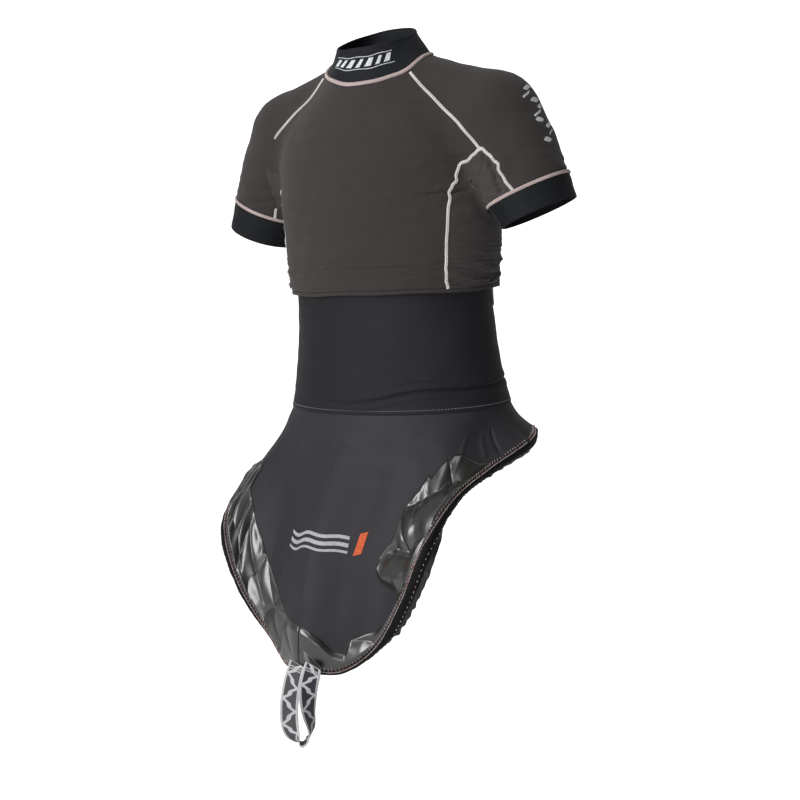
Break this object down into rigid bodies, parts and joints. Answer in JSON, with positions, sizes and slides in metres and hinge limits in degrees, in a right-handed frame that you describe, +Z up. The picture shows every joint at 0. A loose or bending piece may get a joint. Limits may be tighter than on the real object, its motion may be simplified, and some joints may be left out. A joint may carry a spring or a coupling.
{
  "type": "kayak spray skirt",
  "caption": "Neoprene kayak spray deck with waist tube, shock-corded edge and grab loop, joined to a short-sleeved stretch top with stand collar.",
  "frame": {"origin": "centre of the waist seam, where the tube meets the deck", "axes": "+Z up through the collar, the wearer faces -Y, the wearer's left is +X"},
  "size_m": [0.5659, 0.4609, 0.9486],
  "materials": {
    "top_fabric": "matt stretch knit",
    "side_fabric": "matt stretch knit",
    "black_neoprene": "smooth nylon faced neoprene",
    "tube_neoprene": "nylon faced neoprene",
    "deck_neoprene": "nylon faced neoprene",
    "seam_thread": "flatlock thread",
    "collar_thread": "flatlock thread",
    "edge_thread": "zigzag thread",
    "dark_thread": "stitch thread",
    "elastic": "woven elastic",
    "cord": "braided shock cord",
    "crimp": "satin",
    "shiny_rubber": "glossy coated rubber",
    "edge_tape": "folded binding tape",
    "grip_rubber": "satin",
    "seam_tape": "taped seam",
    "tab": "woven tab",
    "webbing": "woven polyester webbing",
    "print_light": "heat pressed print",
    "tack_thread": "bar tack thread"
  },
  "bodies": {
    "root": {"chest_panel": "top_fabric", "back_panel": "top_fabric", "sleeve_left": "top_fabric", "sleeve_right": "top_fabric", "side_panel_left": "side_fabric", "side_panel_right": "side_fabric", "collar": "black_neoprene", "cuff_left": "black_neoprene", "cuff_right": "black_neoprene", "collar_seam": "collar_thread", "raglan_seams": "seam_thread", "side_seams": "seam_thread", "cuff_seams": "collar_thread", "top_hem_band": "side_fabric", "hem_elastic": "elastic", "waist_tube": "tube_neoprene", "hem_tab": "tab", "waist_seam": "seam_tape", "waist_stitches": "dark_thread", "collar_print": "print_light", "sleeve_print": "print_light"},
    "deck_front": {"deck_front_panel": "deck_neoprene", "rubber_band_left": "shiny_rubber", "rubber_band_right": "shiny_rubber", "edge_binding_front": "edge_tape", "shock_cord_front": "cord", "grip_lip_front": "grip_rubber", "edge_stitches_front": "edge_thread", "deck_print": "print_light", "loop_anchor": "grip_rubber"},
    "deck_rear": {"deck_rear_panel": "deck_neoprene", "edge_binding_rear": "edge_tape", "shock_cord_rear": "cord", "cord_crimp": "crimp", "grip_lip_rear": "grip_rubber", "edge_stitches_rear": "edge_thread"},
    "grab_loop": {"grab_loop": "webbing", "loop_bartacks": "tack_thread"}
  },
  "joints": [
    {"name": "deck_front_lift", "type": "hinge", "parent": "root", "child": "deck_front", "pos_m": [0, -0.125, 0.0015], "axis": [-1, 0, 0], "range_deg": [0, 65]},
    {"name": "deck_rear_lift", "type": "hinge", "parent": "root", "child": "deck_rear", "pos_m": [0, 0.125, 0.0015], "axis": [1, 0, 0], "range_deg": [0, 60]},
    {"name": "grab_loop_swing", "type": "hinge", "parent": "deck_front", "child": "grab_loop", "pos_m": [0.009, -0.2632, -0.3135], "axis": [-1, 0, 0], "range_deg": [-5, 110], "stiffness_Nm_per_rad": 0.02}
  ]
}
